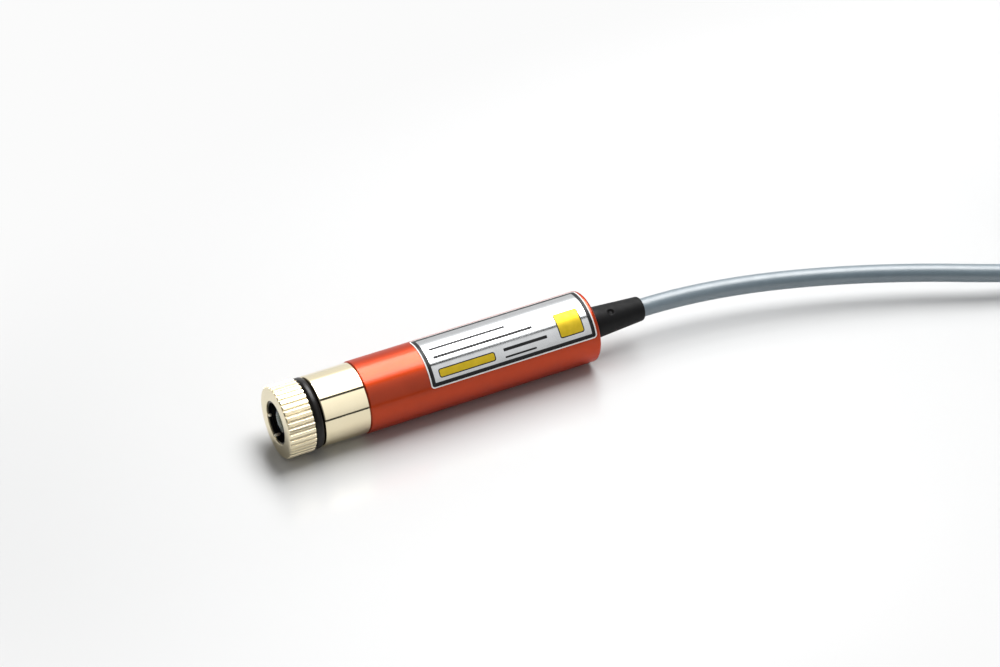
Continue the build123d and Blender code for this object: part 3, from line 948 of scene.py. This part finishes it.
def finish_node(material, *names):
    """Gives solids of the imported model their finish."""
    for name in names:
        for material_slot in bpy.data.objects[name].material_slots:
            material_slot.material = material


bright_nickel, tree, shader = new_material("bright_nickel")
shader.inputs["Metallic"].default_value = 1.0
vary(tree, shader, grain(tree, 300), "Base Color", (0.74, 0.73, 0.70), (0.80, 0.79, 0.76))
vary(tree, shader, grain(tree, 1500, stretch=(4, 1, 1)), "Roughness", 0.1, 0.2)
finish_node(bright_nickel, "plug_barrel", "plug_contact")
finish_node(plug_vinyl, "plug_insulator")


# Diode: a gold-plated can with a glass window, pressed into a turned brass holder behind the lens
# and kept there by a screwed ring.
turned_brass, tree, shader = new_material("turned_brass")
shader.inputs["Metallic"].default_value = 1.0
vary(tree, shader, grain(tree, 300), "Base Color", (0.66, 0.47, 0.18), (0.74, 0.54, 0.23))
vary(tree, shader, turning_marks(tree, 6000), "Roughness", 0.2, 0.34)
roughen(tree, shader, turning_marks(tree, 9000), 0.4, 0.000005)
finish_node(turned_brass, "diode_holder", "clamp_ring")

gold_plating, tree, shader = new_material("gold_plating")
shader.inputs["Metallic"].default_value = 1.0
vary(tree, shader, grain(tree, 900), "Base Color", (0.80, 0.60, 0.24), (0.86, 0.66, 0.30))
vary(tree, shader, grain(tree, 2000), "Roughness", 0.16, 0.26)
finish_node(gold_plating, "laser_diode", "diode_legs")

window_glass, tree, shader = new_material("window_glass")
shader.inputs["Transmission Weight"].default_value = 1.0
shader.inputs["IOR"].default_value = 1.5
vary(tree, shader, grain(tree, 900), "Base Color", (0.84, 0.87, 0.89), (0.90, 0.92, 0.93))
vary(tree, shader, grain(tree, 2000), "Roughness", 0.01, 0.05)
finish_node(window_glass, "diode_window")


# Driver: a narrow green circuit board behind the diode, with its regulator chip, a blue trimmer
# and small chip parts soldered on, insulated from the barrel by a shrunk plastic sleeve.
board_mask, tree, shader = new_material("board_mask")
shader.inputs["Coat Weight"].default_value = 0.4
board_weave = add_node(
    tree, "ShaderNodeTexWave", {"wave_type": "BANDS"}, Scale=1500, Distortion=1.5,
    Vector=add_node(tree, "ShaderNodeTexCoord").outputs["Object"],
).outputs["Fac"]
vary(tree, shader, board_weave, "Base Color", (0.018, 0.15, 0.055), (0.03, 0.21, 0.085))
vary(tree, shader, grain(tree, 900), "Roughness", 0.3, 0.42)
finish_node(board_mask, "driver_board")

chip_epoxy, tree, shader = new_material("chip_epoxy")
vary(tree, shader, grain(tree, 3000), "Base Color", (0.012, 0.012, 0.013), (0.024, 0.024, 0.025))
vary(tree, shader, grain(tree, 2000), "Roughness", 0.45, 0.6)
roughen(tree, shader, grain(tree, 9000), 0.3, 0.00001)
finish_node(chip_epoxy, "driver_chip", "resistors")

trimmer_blue, tree, shader = new_material("trimmer_blue")
vary(tree, shader, grain(tree, 900), "Base Color", (0.035, 0.12, 0.42), (0.05, 0.16, 0.50))
vary(tree, shader, grain(tree, 1500), "Roughness", 0.35, 0.48)
finish_node(trimmer_blue, "trim_pot")

tan_ceramic, tree, shader = new_material("tan_ceramic")
vary(tree, shader, grain(tree, 2500), "Base Color", (0.44, 0.31, 0.15), (0.54, 0.40, 0.21))
vary(tree, shader, grain(tree, 2500), "Roughness", 0.4, 0.55)
finish_node(tan_ceramic, "capacitors")

shrunk_sleeve, tree, shader = new_material("shrunk_sleeve")
shader.inputs["Transmission Weight"].default_value = 0.4
vary(tree, shader, grain(tree, 400), "Base Color", (0.66, 0.62, 0.50), (0.74, 0.70, 0.58))
vary(tree, shader, grain(tree, 700), "Roughness", 0.3, 0.45)
roughen(tree, shader, grain(tree, 700), 0.3, 0.00005)
finish_node(shrunk_sleeve, "insulating_sleeve")


# Leads: two thin copper wires in smooth plastic insulation, one red and one black. They are
# soldered to the board and run back from it to the cable's end.
def lead_insulation(name, dark, pale):
    """Smooth plastic insulation, a little uneven in colour and gloss."""
    material, tree, shader = new_material(name)
    vary(tree, shader, grain(tree, 800), "Base Color", dark, pale)
    vary(tree, shader, grain(tree, 1500), "Roughness", 0.3, 0.42)
    return material


finish_node(lead_insulation("red_insulation", (0.50, 0.012, 0.01), (0.60, 0.02, 0.016)), "red_lead")
finish_node(
    lead_insulation("black_insulation", (0.010, 0.010, 0.010), (0.020, 0.020, 0.020)), "black_lead"
)


# Table and light: a glossy white table that fades into white, a bright panel above it, and a dim
# room with a narrow arch of reflectors, parted by one dark gap, for the metal to mirror. Mirrored
# rays see the table without shine, and dark on the camera's side.
table_z = -0.006
table_reach = 6.0
white_reach = 0.075
table_gloss = 0.5
lit_table = (0.675, 0.678, 0.678)
painted_shade_in_reflections = (0.04, 0.04, 0.04)
page_white = (0.965, 0.966, 0.965)
fade_middle = (0.085, 0, table_z)
fade_shape = (0.42, 1, 1)
fade_start = 0.055
fade_end = 0.10
table_mesh = bpy.data.meshes.new("table")
shape = bmesh.new()
bmesh.ops.create_grid(shape, x_segments=1, y_segments=1, size=table_reach)
bmesh.ops.translate(shape, vec=(0, 0, table_z), verts=shape.verts)
shape.to_mesh(table_mesh)
shape.free()
table = bpy.data.objects.new("table", table_mesh)
bpy.context.collection.objects.link(table)


def blend_colours(tree, factor, first, second):
    """A mix of two colours, each a socket or plain numbers."""
    mix = add_node(tree, "ShaderNodeMix", {"data_type": "RGBA"})
    tree.links.new(factor, mix.inputs["Factor"])
    for socket, value in ((mix.inputs[6], first), (mix.inputs[7], second)):
        if isinstance(value, bpy.types.NodeSocket):
            tree.links.new(value, socket)
        else:
            socket.default_value = (*value, 1)
    return mix.outputs[2]


table_white, tree, shader = new_material("table_white")
table_place = add_node(tree, "ShaderNodeTexCoord").outputs["Object"]
table_y = add_node(tree, "ShaderNodeSeparateXYZ", Vector=table_place).outputs["Y"]
# Past the white reach the table is painted dark for mirrored rays only: a painted reflection of shade on
# the camera's side.
past_white = compute(tree, "LESS_THAN", table_y, -white_reach)
mirrored = add_node(tree, "ShaderNodeLightPath").outputs["Is Glossy Ray"]
darkened = compute(tree, "MULTIPLY", past_white, mirrored)
table_colour = blend_colours(tree, darkened, lit_table, painted_shade_in_reflections)
tree.links.new(table_colour, shader.inputs["Base Color"])
table_shine = compute(tree, "MULTIPLY", compute(tree, "SUBTRACT", 1.0, mirrored), table_gloss)
tree.links.new(table_shine, shader.inputs["Specular IOR Level"])
shader.inputs["Roughness"].default_value = 0.25
plain_white = add_node(tree, "ShaderNodeEmission", Color=(*page_white, 1)).outputs[0]
from_middle = add_node(
    tree, "ShaderNodeVectorMath", {"operation": "SUBTRACT"}, _0=table_place, _1=fade_middle
).outputs["Vector"]
squeezed = add_node(
    tree, "ShaderNodeVectorMath", {"operation": "MULTIPLY"}, _0=from_middle, _1=fade_shape
).outputs["Vector"]
away = add_node(
    tree, "ShaderNodeVectorMath", {"operation": "LENGTH"}, _0=squeezed
).outputs["Value"]
far_off = add_node(
    tree, "ShaderNodeMapRange", {"interpolation_type": "SMOOTHSTEP"}, Value=away,
    _1=fade_start, _2=fade_end, _3=0.0, _4=1.0,
).outputs["Result"]
looked_at = add_node(tree, "ShaderNodeLightPath").outputs["Is Camera Ray"]
fading = add_node(
    tree, "ShaderNodeMixShader", Fac=compute(tree, "MULTIPLY", far_off, looked_at),
    _1=shader.outputs["BSDF"], _2=plain_white,
).outputs[0]
tree.links.new(fading, tree.nodes["Material Output"].inputs["Surface"])
table_mesh.materials.append(table_white)

panel_light = bpy.data.lights.new("panel", "AREA")
panel_light.shape = "RECTANGLE"
panel_light.size = 0.36
panel_light.size_y = 0.74
panel_radiance = 8.2
panel_light.energy = panel_radiance * pi * panel_light.size * panel_light.size_y
panel = bpy.data.objects.new("panel", panel_light)
panel.location = (0.26, 0.20, 0.7)
bpy.context.collection.objects.link(panel)

world = bpy.data.worlds.new("studio")
world.use_nodes = True
bpy.context.scene.world = world
tree = world.node_tree
background = tree.nodes["Background"]
direction = add_node(tree, "ShaderNodeTexCoord").outputs["Generated"]
axes = add_node(tree, "ShaderNodeSeparateXYZ", Vector=direction).outputs

room_levels = [(-90.0, 0.80), (-65.0, 0.60), (-52.0, 0.20), (180.0, 0.20)]
reflector_middle = 0.335
reflector_half_width = 0.11
reflector_edge = 0.04
reflector_levels = [
    (-90.0, 0.90),
    (-62.0, 1.00),
    (-54.0, 1.40),
    (-48.0, 2.90),
    (21.0, 2.90),
    (21.2, 0.02),
    (28.2, 0.02),
    (28.4, 1.30),
    (50.0, 1.12),
    (70.0, 1.00),
    (88.0, 0.80),
]
towards_front = compute(tree, "MULTIPLY", axes["Y"], -1.0)
lean = compute(tree, "ARCTAN2", towards_front, axes["Z"])
lean_share = compute(tree, "ADD", compute(tree, "DIVIDE", lean, 2 * pi), 0.5)


def levels_by_lean(tree, levels):
    """A grey ramp over the lean of a direction, from straight up towards the front."""
    ramp = add_node(tree, "ShaderNodeValToRGB", Fac=lean_share)
    stops = ramp.color_ramp.elements
    for place, (angle, level) in enumerate(levels):
        stop = stops[place] if place < 2 else stops.new(1.0)
        stop.position = angle / 360 + 0.5
        stop.color = (level, level, level, 1)
    return ramp.outputs["Color"]


aside = compute(tree, "ABSOLUTE", compute(tree, "SUBTRACT", axes["X"], reflector_middle))
on_reflector = add_node(
    tree, "ShaderNodeMapRange", {"interpolation_type": "SMOOTHSTEP"}, Value=aside,
    _1=reflector_half_width, _2=reflector_half_width + reflector_edge, _3=1.0, _4=0.0,
).outputs["Result"]
studio = blend_colours(
    tree, on_reflector, levels_by_lean(tree, room_levels), levels_by_lean(tree, reflector_levels)
)
seen = add_node(tree, "ShaderNodeLightPath").outputs["Is Camera Ray"]
tree.links.new(blend_colours(tree, seen, studio, (1, 1, 1)), background.inputs["Color"])
